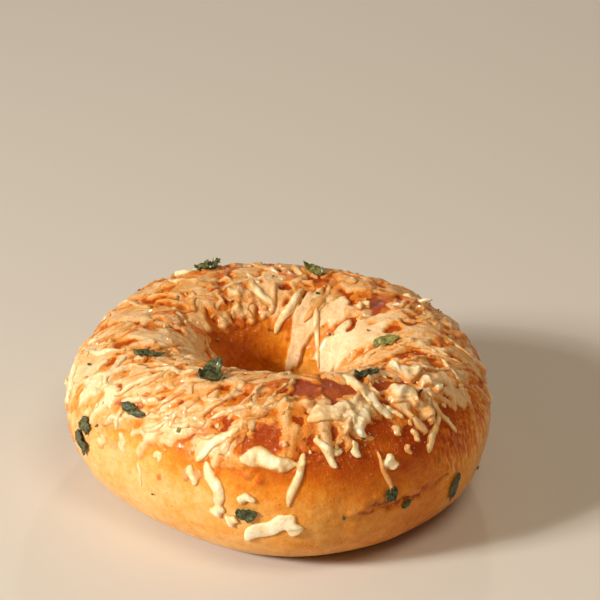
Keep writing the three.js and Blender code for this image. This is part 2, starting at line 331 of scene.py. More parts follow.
SHEETS = (                     # around, over, heading of the long way, length, width, thickness
    (183, 94, 88, 14, 12, 1.1), (161, 64, 90, 17, 10, 1), (159, 94, 60, 10, 7, 0.8),
    (201, 38, 80, 10, 7, 1.2), (191, 26, 90, 12, 7, 0.8), (190, 50, 90, 14, 10, 0.8),
    (211, 44, 20, 6, 5, 1.3), (215, 63, 0, 13, 9, 0.9), (182, 118, 90, 13, 12, 0.9),
    (196, 130, 0, 14, 9, 0.9), (262, 99, 16, 26, 7, 1), (222, 108, 20, 13, 7, 0.8),
    (168, 124, 90, 10, 9, 0.8), (206, 112, 20, 9, 8, 0.8), (97, 114, 88, 19, 10, 1), (106, 84, 0, 11, 7, 0.9),
    (136, 104, 10, 13, 8, 0.9), (27, 138, 88, 24, 13, 1.5), (40, 154, 84, 20, 10, 1.4),
    (26, 101, 60, 11, 8, 1.2), (8, 84, 110, 15, 8, 1), (313, 66, -60, 9, 8, 1.2), (333, 47, -70, 10, 6, 0.8),
    (359, 48, -80, 12, 8, 1.1), (58, 85, 0, 13, 8, 0.9), (73, 141, 88, 22, 8, 1.3), (56, 122, 88, 13, 9, 1.3),
    (286, 64, 22, 10, 6, 1.3), (240, 73, 35, 11, 6, 0.8), (206, 92, 20, 8, 5, 0.7), (130, 84, 20, 14, 8, 0.9),
    (82, 74, 10, 14, 8, 0.8), (150, 116, 40, 11, 7, 0.8), (336, 62, -50, 8, 6, 0.9), (20, 60, 70, 13, 8, 0.8),
    (45, 64, -30, 12, 8, 0.8), (112, 50, 70, 15, 8, 0.8), (80, 42, 60, 13, 8, 0.8),
    (140, 48, 100, 15, 10, 0.9), (30, 44, 100, 13, 8, 0.8), (175, 68, 90, 14, 7, 0.8),
    (172, 36, 90, 12, 7, 0.9), (12, 118, 80, 14, 8, 1.1), (350, 118, 60, 11, 7, 0.9),
    (302, 106, 0, 15, 6, 0.9), (345, 56, -70, 8, 5, 0.8), (249, 31, 0, 10, 6, 0.6), (258, 27, 0, 9, 4, 0.5),
    (238, 34, 20, 10, 6, 0.6), (229, 30, 20, 8, 5, 0.5),
)
BARE_PATCHES = (               # around, over and reach in millimetres
    (280, 87, 4.2), (291, 86, 4.6), (266, 46, 4), (300, 46, 4), (276, 58, 2), (254, 52, 1.6), (88, 112, 2.2),
    (15, 103, 2), (344, 74, 2.6), (186, 72, 2), (148, 74, 2.6), (196, 62, 1.6), (110, 160, 8), (140, 165, 9),
    (312, 82, 2.4), (236, 56, 1.6), (344, 98, 2.6), (40, 95, 3), (37, 122, 2), (224, 28, 1.3), (60, 174, 3),
    (320, 78, 2), (352, 88, 2), (120, 92, 2),
)
PATCH_RAGGED = (2.5, 2.4)      # size and reach in millimetres
PATCH_EDGE = (0.75, 0.95)


def waved(edge, around):
    """A mean with waves round the ring."""
    return edge[0] + waves(edge[1], around)


def sheet_cover(places):
    """How thick the sheets are at each place, about 1 inside one and 0 outside all of them."""
    draw = draws_from(SHEET_SEED)
    cover = np.zeros(places.shape[:-1])
    for around, over, heading, length, width, thickness in SHEETS:
        along, across, normal = crust_frame(around, over)
        along /= np.linalg.norm(along)
        across /= np.linalg.norm(across)
        turn = math.radians(heading)
        offset = places - bare_crust(around, over)
        long = offset @ (along * math.cos(turn) + across * math.sin(turn)) / (length / 2)
        wide = offset @ (across * math.cos(turn) - along * math.sin(turn)) / (width / 2)
        angle = np.arctan2(wide, long)
        wander = 1.0
        for wave in SHEET_WAVES:
            size = SHEET_RAGGEDNESS / math.sqrt(wave)
            wander = wander + size * np.cos(wave * angle + 2 * np.pi * next(draw))
        thick = thickness * (1 - smoothstep(np.hypot(long, wide) / wander, *SHEET_EDGE))
        cover = np.maximum(cover, np.where(np.abs(offset @ normal) < SHEET_DEPTH, thick, 0))
    return cover


SHEET_MAP = sheet_cover(MAP_PLACES)
print("sheets cover", round(100 * float((SHEET_MAP > 0.5).mean())), "% of the map")


def film(around, over, places):
    """How much melted cheese covers each place, 0 to 1, and where it is a sheet."""
    ragged = over + sum(reach * clouds(places, size, 9.0) for size, reach in FILM_RAGGED)
    low = waved(FILM_LOW, around)
    high = waved(FILM_HIGH, around)
    zone = between(ragged, (low - FILM_EDGE, low + FILM_EDGE), (high - FILM_EDGE, high + FILM_EDGE))
    level = sum(share * clouds(places, size, 3.0) for size, share in FILM_GAPS)
    gap = waved(GAP_LEVEL, around)
    skin = zone * smoothstep(level, gap + GAP_EDGE[0], gap + GAP_EDGE[1])
    sheet = on_map(SHEET_MAP, around, over)
    skin = np.maximum(skin, np.minimum(sheet, 1))
    uneven = PATCH_RAGGED[1] * clouds(places, PATCH_RAGGED[0], 7.0)
    for patch_around, patch_over, reach in BARE_PATCHES:
        distance = np.linalg.norm(places - bare_crust(patch_around, patch_over), axis=-1) + uneven
        open_crust = smoothstep(distance, PATCH_EDGE[0] * reach, PATCH_EDGE[1] * reach)
        skin = skin * open_crust
        sheet = sheet * open_crust
    return skin, sheet


# %% [markdown]
# ## Where the cheese fell
#
# The cheese was strewn from above before baking. Most of it lies on the crest, less on the slopes and hardly
# any low on the outside. A few patches stayed bare, and few pieces show on the sheets and none on the big
# lumps, which swallowed them. The places come from a sequence that fills a plane evenly without making rows,
# and the longest pieces come first. Each piece is held as its middle, its heading, its sizes and how far it
# bends.
# %% Where the cheese fell
ZONE = (-4.0, 168.0)                   # "over" angles that the cheese can fall on
FALL = ((0, 50), (135, 182))           # and those between which it gets thicker and thinner
FRONT = 265                            # where the distinct shreds lie closest
SUNK = 0.5                             # millimetres
BEND = 50                              # degrees, to either side
KEPT_OFF_SHEETS = 0.92
CREST = (62, 118)
CREST_HEADING = (40, 200)              # mean and spread in degrees
SLOPE_HEADING = (-90, 110)
SWEEP = (205, 268)                     # the front left, where the shreds all lie one way
SWEEP_HEADING = (45, 80)
EVEN_SPREAD = (0.7548776662, 0.5698402910)
BIG_LUMPS = (                          # around, over, heading, length, width and bend
    (328, 86, -50, 9.6, 7.4, 0), (327, 65, -50, 6.6, 4.8, 0), (313.5, 66, -60, 8, 6.4, 0),
    (44, 106, 75, 4.4, 3, 0),
)
LUMP_SHARE = 0.42                      # of a lump's length, kept free round its middle
SHEET_PROBES = (-0.36, 0, 0.36)        # parts of its length at which a piece looks for sheets
LUMP_PROBES = (-0.4, -0.2, 0, 0.2, 0.4)


def centres(rows):
    """The points of the crust at the first two values of each row."""
    return np.array([bare_crust(row[0], row[1]) for row in rows])


BARE = (centres(BARE_PATCHES), np.array([row[2] for row in BARE_PATCHES]))
LUMPS = (centres(BIG_LUMPS), np.array([LUMP_SHARE * row[3] for row in BIG_LUMPS]))


def inside(discs, place):
    """Whether a place lies in one of some discs, given as their centres and their reaches."""
    return np.any(np.linalg.norm(discs[0] - bare_crust(*place), axis=1) < discs[1])


def how_open(around, over, heading, length):
    """How likely a piece stays where it fell: never across a bare patch, seldom on a sheet."""
    covered = 0
    for part in SHEET_PROBES:
        place = walk(around, over, heading, part * length)
        if inside(BARE, place):
            return 0
        covered += on_map(SHEET_MAP, *place) > 0.5
    return 1 - KEPT_OFF_SHEETS * covered / len(SHEET_PROBES)


def on_a_lump(piece):
    """Whether a piece would lie on one of the big lumps."""
    middle = (piece["around"], piece["over"], piece["heading"])
    return any(inside(LUMPS, walk(*middle, part * piece["length"])) for part in LUMP_PROBES)


def heading_at(around, over):
    """The mean and the spread of the pieces' headings at a place."""
    if SWEEP[0] < around < SWEEP[1] and over < CREST[1]:
        return SWEEP_HEADING
    return CREST_HEADING if CREST[0] < over < CREST[1] else SLOPE_HEADING


def evenly(index, zone):
    """One of the places that fill a zone of the crust evenly."""
    return 360 * (index * EVEN_SPREAD[0] % 1), mixed(zone, index * EVEN_SPREAD[1] % 1)


def strewn(count, length, width, rise, seed, thinning, margin, **form):
    """Pieces on the top, the longest first, fewer away from the front, a margin above the film's edge."""
    draw = draws_from(seed)
    pieces = []
    index = seed
    while len(pieces) < count:
        index += 1
        around, over = evenly(index, ZONE)
        place = bare_crust(around, over)
        away = 0.5 - 0.5 * math.cos(math.radians(around - FRONT))
        share = math.hypot(place[0], place[1]) / OUTER_RADIUS * between(over, *FALL) * (1 - thinning * away)
        mean, spread = heading_at(around, over)
        heading = mean + spread * (next(draw) - 0.5)
        this_length = mixed(length, 1 - len(pieces) / count)
        share *= how_open(around, over, heading, this_length)
        if next(draw) < share and over > waved(FILM_LOW, around) + margin:
            pieces.append({
                "around": around,
                "over": over,
                "heading": heading,
                "length": this_length,
                "width": mixed(width, next(draw)),
                "bend": BEND * (2 * next(draw) - 1),
                "rise": mixed(rise, next(draw)),
                "sunk": SUNK,
                **form,
            })
    return [piece for piece in pieces if not on_a_lump(piece)]


# %% [markdown]
# ## Routes over the crust
#
# A shred follows the crust, so its route is walked: from its middle both ways in short steps, turning a
# little at each. All pieces of a kind are walked at once, as arrays, because there are hundreds of them.
# %% Routes over the crust
ROUTE_STEPS = 16


def column(items, name):
    """One value of every item, as a column, and 0 where an item has none."""
    return np.array([item.get(name, 0) for item in items], dtype=float)[:, None]


def route_at(items, along):
    """Around, over and heading, for each item, at parts of its route from -1 to 1."""
    length = column(items, "length")[:, 0]
    turn = column(items, "bend")[:, 0] / ROUTE_STEPS
    route = np.zeros((ROUTE_STEPS + 1, len(items), 3))
    half = ROUTE_STEPS // 2
    route[half] = np.hstack([column(items, name) for name in ("around", "over", "heading")])
    for way in (1, -1):
        for step in range(half):
            last = route[half + way * step]
            heading = last[:, 2] + way * turn
            around, over = walk(last[:, 0], last[:, 1], heading, way * length / ROUTE_STEPS)
            route[half + way * (step + 1)] = np.stack([around, over, heading], axis=-1)
    at = (along + 1) / 2 * ROUTE_STEPS
    before = np.clip(np.floor(at).astype(int), 0, ROUTE_STEPS - 1)
    mix = (at - before)[:, None, None]
    places = route[before] * (1 - mix) + route[before + 1] * mix
    return places[..., 0].T, places[..., 1].T, places[..., 2].T


# %% [markdown]
# ## Shreds that melted into the film
#
# Most shreds sank into the skin of cheese and are left as soft ridges in it. They are too flat and too well
# blended to be pieces of their own, so they are heights on the map, from which the bread takes its relief.
# Where ridges meet, the fourth powers of their heights are added, which rounds the corner between.
# %% Shreds that melted into the film
RIDGE_STEPS = 33
RIDGE_SHARE = 0.75             # of the height; the rest is the low foot round it
RIDGE_BLEND = 4
RIDGE_POWER = 0.7              # how round its back is
RIDGE_SWELL = (0.22, 5)        # share of its width, and pace
RIDGE_FOOT = (0.7, 1.9)        # where the foot begins and ends, in half widths


def window(middle, reach, step, start):
    """The first cell of a stretch of the map, and the one after its last."""
    low = math.floor((np.min(middle) - reach - start) / step)
    high = math.ceil((np.max(middle) + reach - start) / step)
    return low, high + 1


def melt_in(strands, draws):
    """The height of melted strands on the map, in millimetres."""
    part = np.linspace(-1, 1, RIDGE_STEPS)
    around, over, _ = route_at(strands, part)
    routes = bare_crust(around, over)
    total = np.zeros(MAP_PLACES.shape[:2])
    for index, strand in enumerate(strands):
        along, across, _ = crust_frame(around[index], over[index])
        reach = [strand["width"] / np.min(np.linalg.norm(step, axis=1)) for step in (along, across)]
        columns = np.arange(*window(around[index], reach[0], MAP_STEP[0], 0))
        rows = window(over[index], reach[1], MAP_STEP[1], MAP_OVER[0])
        rows = np.arange(max(rows[0], 0), min(rows[1], len(total)))
        cells = np.ix_(rows, columns[:total.shape[1]] % total.shape[1])
        swell = 1 + RIDGE_SWELL[0] * np.sin(RIDGE_SWELL[1] * part + draws.uniform(0, 2 * np.pi))
        away = np.linalg.norm(MAP_PLACES[cells][:, :, None] - routes[index], axis=-1)
        away = np.min(away / (strand["width"] / 2 * swell), axis=-1)
        ridge = np.maximum(1 - away ** 2, 0) ** RIDGE_POWER
        foot = 1 - smoothstep(away, *RIDGE_FOOT)
        total[cells] += (strand["rise"] * (RIDGE_SHARE * ridge + (1 - RIDGE_SHARE) * foot)) ** RIDGE_BLEND
    return total ** (1 / RIDGE_BLEND)


melted_in = strewn(330, (3.5, 15), (1, 2.4), (0.25, 0.65), 63, 0.3, 8)
STRANDS = melt_in(melted_in, np.random.default_rng(8))
print(len(melted_in), "melted strands, up to", round(float(STRANDS.max()), 2), "mm high")

# %% [markdown]
# ## The whole relief
#
# The dough, the film, its sheets and the melted strands add up to one height above the plain crust. The
# pieces that are laid on top ask for the same height, so they sit on the bread wherever they are put.
# %% The whole relief
FILM_RISE = 0.42
FILM_WAVES = ((4.0, 0.22), (1.6, 0.12))
SHEET_RISE = 0.5
SHEET_SWELL = (5.0, 0.5)       # slow swelling of a sheet: millimetres across, and share of its height
STRAND_IN_SHEET = 0.15         # how much of a strand still shows where it lies in a sheet
STRAND_SKIN = (0.06, 0.2)      # heights between which a strand covers the crust


def relief(around, over):
    """Height above the plain crust, in millimetres, and what it is made of: film, sheets and strands."""
    places = bare_crust(around, over)
    skin, sheet = film(around, over, places)
    strand = on_map(STRANDS, around, over) * (1 - (1 - STRAND_IN_SHEET) * np.minimum(sheet, 1))
    skin = np.maximum(skin, smoothstep(strand, *STRAND_SKIN))
    unevenness = sum(rise * clouds(places, size, 1.0) for size, rise in FILM_WAVES)
    swell = 1 + SHEET_SWELL[1] * clouds(places, SHEET_SWELL[0], 31.0)
    cheese = FILM_RISE * smoothstep(skin, 0.1, 0.9) + SHEET_RISE * sheet * swell + unevenness * skin + strand
    return dough_relief(around, over, places) + cheese, skin, sheet, strand


# %% [markdown]
# ## The bread
#
# A bagel is a roll of dough closed into a ring. A torus is the natural start. It can't have more than 256
# segments, so it is subdivided once, and its points are then moved to the crust by their two angles. The top
# gets more of the rows than the plain underside, because the top shows. What the crust and the cheese need
# for their colours is painted on its points.
# %% The bread
RING_STEPS = 500
ROLL_STEPS = 188
TOP_ZONE = (-40.0, 190.0)      # "over" angles that get the closer rows
TOP_SHARE = 0.82               # part of the rows that they get
SIDE_BAKE = 0.14
TOP_BAKE = 0.74
BAKE_OUTSIDE = (-12, 58)       # "over" between which the outside goes from golden to red brown
BAKE_LEFT = ((1, 9, 175),)     # later on the left, where the crust stayed pale
BAKE_IN_HOLE = (112, 150)      # and between which it turns golden again in the hole
BAKE_LOSS = 0.72
BAKE_MOTTLE = ((13.0, 0.3, 21.0), (5.0, 0.22, 22.0))     # millimetres across, strength and place in the noise
SIDE_MOTTLE = 0.3              # how much of it shows low on the side
# painted light and shade: the low side is paler on the left, partly painted light where the key lamp falls, and
# darker on the right, which is painted shade
SIDE_LIGHT_AND_SHADE = ((1, 0.15, -15),)  # the low side is paler on the left and darker on the right
# the darker spot at 148 around and 165 over, deep in the hole, is painted shade
BAKE_AND_SHADE_SPOTS = (                 # around, over, reach in millimetres, and how much darker or paler
    (333, 22, 16, -0.3), (345, 40, 12, -0.2), (160, 20, 16, -0.15), (148, 165, 14, 0.3), (92, 160, 10, -0.12),
    (316, -18, 18, 0.16),
)
# the small strong spot at 249 around and 31 over is a painted highlight: the white glint of the fat on the
# front left
CREAM_AND_GLINT_PLACES = (               # around, over, reach in millimetres, and how much paler the cheese is
    (32, 146, 14, 0.12), (292, 52, 11, 0.25), (330, 74, 12, 0.28), (196, 96, 20, 0.15), (274, 78, 14, 0.08),
    (318, 70, 16, 0.1), (249, 31, 4, 0.45), (258, 27, 5, 0.15), (236, 38, 8, 0.15), (100, 120, 10, 0.12),
    (60, 110, 10, 0.12), (212, 6, 15, 0.4), (186, 10, 14, 0.3), (236, 8, 9, 0.2),
)
STREAKS_AROUND = ((306, 322), (346, 359))      # where the upright streaks low on the right begin and end
STREAKS_OVER = ((-6, 4), (30, 46))


def spots(rows, places):
    """The sum of soft round spots, each with its place, its reach in millimetres and its strength."""
    total = np.zeros(places.shape[:-1])
    for around, over, reach, strength in rows:
        distance = np.linalg.norm(places - bare_crust(around, over), axis=-1)
        total += strength * np.exp(-(distance / reach) ** 2)
    return total


def bake_and_painted_light(around, over, places):
    """How dark the crust is, from 0 for golden to 1 for red brown: its bake, with painted light low on the left
    and painted shade low on the right and deep in the hole.
    """
    outside = smoothstep(over - waves(BAKE_LEFT, around), *BAKE_OUTSIDE)
    height = outside * (1 - BAKE_LOSS * smoothstep(over, *BAKE_IN_HOLE))
    mottle = sum(strength * clouds(places, size, shift) for size, strength, shift in BAKE_MOTTLE)
    # painted light and shade on the low side: paler on the left, darker on the right
    side = SIDE_BAKE + waves(SIDE_LIGHT_AND_SHADE, around) * (1 - outside)
    baked = side + TOP_BAKE * height + mottle * (SIDE_MOTTLE + (1 - SIDE_MOTTLE) * height)
    # the spots put painted shade deep in the hole
    return np.clip(baked + spots(BAKE_AND_SHADE_SPOTS, places), 0, 1)


def ring_of_faces():
    """A torus with the wanted number of faces, made with an operator and subdivided."""
    bpy.ops.object.select_all(action="DESELECT")
    bpy.ops.mesh.primitive_torus_add(
        major_segments=RING_STEPS // 2, minor_segments=ROLL_STEPS // 2,
        major_radius=ROLL_RADIUS * MM, minor_radius=HOLE_RADIUS * MM,
    )
    bpy.ops.object.mode_set(mode="EDIT")
    bpy.ops.mesh.select_all(action="SELECT")
    bpy.ops.mesh.subdivide(number_cuts=1)
    bpy.ops.object.mode_set(mode="OBJECT")
    bpy.ops.object.shade_smooth()
    return bpy.context.active_object


def make_bread():
    """A torus whose points are moved onto the crust."""
    bread = ring_of_faces()
    bread.name = "bread"
    points = points_of(bread) / MM
    around = np.degrees(np.arctan2(points[:, 1], points[:, 0])) % 360
    reach = np.hypot(points[:, 0], points[:, 1]) - ROLL_RADIUS
    part = (np.degrees(np.arctan2(points[:, 2], reach)) % 360) / 360
    on_top = part / TOP_SHARE * (TOP_ZONE[1] - TOP_ZONE[0]) + TOP_ZONE[0]
    below = (part - TOP_SHARE) / (1 - TOP_SHARE) * (360 - TOP_ZONE[1] + TOP_ZONE[0]) + TOP_ZONE[1]
    over = np.where(part < TOP_SHARE, on_top, below)
    over = (over + 90) % 360 - 90
    height, skin, sheet, strand = relief(around, over)
    plain = bare_crust(around, over)
    points = plain + crust_frame(around, over)[2] * height[:, None]
    points[:, 2] = np.maximum(points[:, 2], 0)
    bread.data.vertices.foreach_set("co", (points * MM).astype(np.float32).ravel())
    bread.data.update()
    # the bake number also holds painted light and shade
    paint(bread, "bake", bake_and_painted_light(around, over, plain))
    paint(bread, "film", skin)
    paint(bread, "sheet", sheet)
    paint(bread, "strand", strand)
    paint(bread, "streaks", between(around, *STREAKS_AROUND) * between(over, *STREAKS_OVER))
    # paler cheese, with a painted highlight at the glint on the front left
    paint(bread, "cream", spots(CREAM_AND_GLINT_PLACES, plain))
    # where the crack runs, for the painted shade in its groove
    paint(bread, "crack", np.exp(-(crack_distance(around, over, plain) / CRACK_WIDTH) ** 2))
    return bread


bread = make_bread()
print("bread:", len(bread.data.polygons), "faces")

# %% [markdown]
# ## One shred of cheese
#
# A grater gives bars of cheese, about 2 mm thick. One bar is modelled: a cylinder, cut across, with its ends
# drawn in. Every shred on the bagel is a copy of it, bent along its own route over the crust.
# %% One shred of cheese
SHRED_SIDES = 10
SHRED_CUTS = 12
END_TAPER = {0: 0.42, 1: 0.80}         # how much narrower the last ring and the one before it are


def make_shred_template():
    """A bar along X, from -1 to 1, one unit in radius, with rounded ends."""
    bpy.ops.object.select_all(action="DESELECT")
    bpy.ops.mesh.primitive_cylinder_add(
        vertices=SHRED_SIDES, radius=1, depth=2, rotation=(0, math.pi / 2, 0)
    )
    bar = bpy.context.active_object
    bpy.ops.object.transform_apply(location=False, rotation=True, scale=False)
    bpy.ops.object.mode_set(mode="EDIT")
    mesh = bmesh.from_edit_mesh(bar.data)
    for edge in mesh.edges:
        edge.select_set(abs(edge.verts[0].co.x - edge.verts[1].co.x) > 1)
    bmesh.update_edit_mesh(bar.data)
    bpy.ops.mesh.subdivide(number_cuts=SHRED_CUTS)
    spacing = 2 / (SHRED_CUTS + 1)
    for ring, taper in END_TAPER.items():
        bpy.ops.mesh.select_all(action="DESELECT")
        mesh = bmesh.from_edit_mesh(bar.data)
        for vertex in mesh.verts:
            vertex.select_set(abs(abs(vertex.co.x) - (1 - ring * spacing)) < 0.01)
        mesh.select_flush_mode()
        bmesh.update_edit_mesh(bar.data)
        bpy.ops.transform.resize(value=(1, taper, taper))
    bpy.ops.object.mode_set(mode="OBJECT")
    return take_over(bar)


BAR_POINTS, BAR_FACES = make_shred_template()
print("one shred:", len(BAR_POINTS), "points")

# %% [markdown]
# ## Laying a shred on the crust
#
# Every point of the bar knows how far along its shred's route it is, how far to the side, and how high it
# stands. The shred swells, narrows and sways a little on its way, and its foot spreads where it melted onto
# the film.
# %% Laying shreds
SWELL = (0.2, 0.1, 5.3)        # thicker at one end; share and pace of its waves
SWAY = (0.14, 4.2)             # share of the width, and pace
TOP_WAVES = (0.16, 5, 0.1, 11)                 # share and pace of two waves along its top


def beside_route(route, side, lift):
    """Points to the side of a route and a lift above the dressed crust, in millimetres."""
    around, over = walk(route[0], route[1], route[2] - 90, side)
    height = relief(around, over)[0] + lift
    return bare_crust(around, over) + crust_frame(around, over)[2] * height[..., None]


def lay_shreds(shreds, draws):
    """The points of the bar for each shred: an array of shreds by points by three."""
    along, across, up = BAR_POINTS.T
    phase = draws.uniform(0, 2 * np.pi, (len(shreds), 5)).T[..., None]
    width = column(shreds, "width")
    oval = np.sqrt(1 - column(shreds, "oval") * along ** 2)
    swell = 1 + SWELL[0] * along * np.cos(phase[0]) + SWELL[1] * np.sin(SWELL[2] * along + phase[1])
    skirt = 1 + column(shreds, "skirt") * np.maximum(0.5 - up, 0)
    sway = SWAY[0] * width * np.sin(SWAY[1] * along + phase[2])
    side = across * width / 2 * oval * swell * skirt + sway
    slow = TOP_WAVES[0] * np.sin(TOP_WAVES[1] * along + phase[3])
    quick = TOP_WAVES[2] * np.sin(TOP_WAVES[3] * along + phase[4])
    top = column(shreds, "rise") * (1 + slow + quick)
    lift = np.where(up > 0, np.abs(up) ** column(shreds, "flat") * top, up * column(shreds, "sunk"))
    lift = lift + column(shreds, "tip") * np.maximum(along, 0) ** 2
    return beside_route(route_at(shreds, along), side, lift)


# %% [markdown]
# ## The kinds of pieces
#
# Four kinds lie on top of the film: distinct shreds, broad folds where two or three ran together, soft shreds
# that have nearly sunk in, and small beads that were crumbs of cheese. Each kind has its own count, its
# ranges of length, width and height in millimetres, its draws, and how flat, oval and spread at the foot its
# pieces are.
# %% The kinds of pieces
shreds = strewn(180, (4, 16), (1, 1.8), (0.35, 0.75), 20, 0.75, 14, flat=1, oval=0.2, skirt=0.6)
folds = strewn(45, (4, 9), (2.8, 4.8), (0.3, 0.6), 7, 0, 24, flat=0.9, oval=0.6, skirt=0.8)
soft_shreds = strewn(120, (3.5, 11), (1.3, 2.3), (0.2, 0.5), 11, 0.3, 12, flat=1.3, oval=0.3, skirt=0.9)
beads = strewn(300, (0.8, 1.9), (0.8, 1.6), (0.3, 0.7), 41, 0.5, -2, flat=0.8, oval=0.85, skirt=0.4)
print(len(shreds), "shreds,", len(soft_shreds), "soft shreds,", len(folds), "folds and", len(beads), "beads")

# %% [markdown]
# ## Melting the cheese
#
# Heat runs the pieces together and rounds every edge. A voxel remesh does the same to a mesh: overlapping
# copies become one skin, which is then smoothed. Cloud textures push the skin in and out a little, so that it
# isn't even. Each point of the skin keeps the colour tone of the piece that it came from.
# %% Melting the cheese
PIECE_LIMIT = 190_000                  # triangles
SKIN_CLOUDS = ((2.4, 0.26), (1, 0.12))         # size and depth in millimetres


def roughen(piece, size, depth):
    """Pushes the skin of a piece in and out with a cloud pattern, size and depth in millimetres."""
    pattern = bpy.data.textures.new("clouds", "CLOUDS")
    pattern.noise_scale = size * MM
    apply_modifier(piece, "DISPLACE", texture=pattern, texture_coords="LOCAL", strength=depth * MM)


def melt(piece, voxel, passes):
    """Joins overlapping copies into one skin and rounds it."""
    apply_modifier(piece, "REMESH", mode="VOXEL", voxel_size=voxel * MM, use_smooth_shade=True)
    apply_modifier(piece, "SMOOTH", factor=0.5, iterations=passes)
    for size, depth in SKIN_CLOUDS:
        roughen(piece, size, depth)
    triangles = 2 * len(piece.data.polygons)
    if triangles > PIECE_LIMIT:
        apply_modifier(piece, "DECIMATE", ratio=PIECE_LIMIT / triangles)
    select_only(piece)
    bpy.ops.object.shade_smooth()
    print(piece.name, triangles, "triangles before and", len(piece.data.loop_triangles), "after")


def melted(name, pieces, voxel, passes, draws):
    """One skin of cheese from many pieces, with the colour tone of each piece painted on it."""
    cheese = join_copies(name, lay_shreds(pieces, draws), BAR_FACES)
    raw = points_of(cheese)
    tones = draws.uniform(-1, 1, len(pieces)) + column(pieces, "paler")[:, 0]
    tones = np.repeat(tones, len(BAR_POINTS))
    tree = KDTree(len(raw))
    for index, point in enumerate(raw):
        tree.insert(point, index)
    tree.balance()
    melt(cheese, voxel, passes)
    paint(cheese, "tone", [tones[tree.find(vertex.co)[1]] for vertex in cheese.data.vertices])
    return cheese


shapes = np.random.default_rng(3)
soft = melted("cheese_melted", soft_shreds + folds + beads, 0.36, 5, shapes)
upper = melted("cheese_shreds", shreds, 0.34, 3, shapes)

# %% [markdown]
# ## Pieces that kept their shape
#
# Some shreds and thick pieces fell last and hardly melted. They are paler and stand higher. The ones in front
# lie where they show on the real bagel, and a few more go on round the back. Thin shreds and soft lumps are
# given a tone below 0, which lets the colour of the crust through. On the thin shreds on the right, away from
# the key lamp, the low tone is painted shade as well.
# %% Pieces that kept their shape
FLAKES = ((266.5, -14, 34, 13.5, 4.6, -34), (273, -10, -70, 6.5, 4.6, 0))
LONE_SHREDS = (
    (274, 19, -108, 14, 2, 8), (282, 37, -61, 9, 2, -6), (253, 8, -62, 11, 3.4, -30),
    (301, 76, -79, 18.5, 3.2, 24), (252, 36, 46, 15, 2.2, -8), (87, 133, 62, 14, 2.4, -8),
    (104, 118, 120, 10, 2.2, 10), (58, 150, 113, 19, 1.7, -8), (246, 8, -62, 5.5, 2.4, 0),
    (290, 37, -86, 4.5, 2, 0), (217, 60, 60, 13, 1.8, 6), (188, 24, 150, 14, 2.2, 10),
)
# thin shreds on the right: their low tone lets the crust through, and is also painted shade, as they lie away
# from the key lamp
CLEAR_SHADED_SHREDS = ((297, 17, -76, 12, 1.3, 10), (315, 34, -140, 11.5, 1.9, 14), (321, 44, -86, 13, 1.6, 34))
CHUNKS = (
    (267, 31, -4, 13.5, 4.2, -14), (254, -8, 30, 4.4, 3.2, 0), (299, 24, -73, 4.2, 3.2, 0),
    (124, 60, 161, 7.5, 2.8, 10), (293, 51, -97, 6, 3, 10), (258, -12, 60, 3.6, 3, 0),
    (262, 3, 4, 4.8, 2.2, 0),
)
SOFT_CHUNKS = (
    (344, 57, -60, 5, 3.4, 0), (122, 128, 157, 5, 3.8, 0), (138, 132, 60, 3.8, 2.8, 0),
    (119, 111, 120, 5, 3.4, 0), (37, 62, -10, 6, 3, 0), (316, 52, -70, 6, 4.2, 0), (44, 105, 75, 4, 2.6, 0),
    (309, 37, -85, 3.8, 1.7, 0), (305, 29, -85, 3, 1.6, 0), (304, 44, -80, 3.4, 1.8, 0),
    (285, 37, -20, 2.6, 2, 0), (296, 66, -60, 6, 4, 0),
)
THIN_FLAKES = ((285, 63, 14, 12, 5.6, 10), (294, 58, 30, 6, 4.4, 0), (313, 67, -60, 7.5, 5.5, 0))
RIM_LUMPS = (                  # they break the outline on the right
    (12, 48, 20, 8, 4.6, 10), (5, 38, 60, 7.5, 4.6, 10), (358, 29, 40, 6.5, 4.4, 0),
    (352, 20, 70, 5.6, 3.6, 0), (20, 56, 0, 6, 3.8, 0), (346, 30, -80, 7, 2, 20),
)
RIM_FLAKE = ((37, 63, -160, 8, 3, 0),)         # its tip stands out from the bagel
FLUSH_FLAKES = (               # melted flat, low on the side
    (214, 6, 24, 3.6, 3, 0), (221, 12, -68, 5.6, 2.4, 6), (228, -5, -84, 7, 1.3, 0),
    (234, 13, -29, 3.2, 2.4, 0), (244, 8, 72, 5.2, 2.4, 0), (248, 10, 81, 3.2, 2, 0),
    (206, 22, 60, 3.6, 2.6, 0), (196, 4, -80, 3, 1.6, 0), (172, 2, -70, 4, 2, 0), (150, 6, -60, 5, 2.2, 0),
    (96, 4, -80, 5, 2.6, 0), (58, 8, -100, 4.6, 2, 0), (22, 4, -80, 4.4, 2.4, 0), (340, 6, -100, 4, 1.6, 0),
    (120, 12, -120, 6, 2, 0),
)
PIECE_KEYS = ("around", "over", "heading", "length", "width", "bend")
FORM_KEYS = ("rise", "sunk", "flat", "oval", "skirt", "tip", "paler")
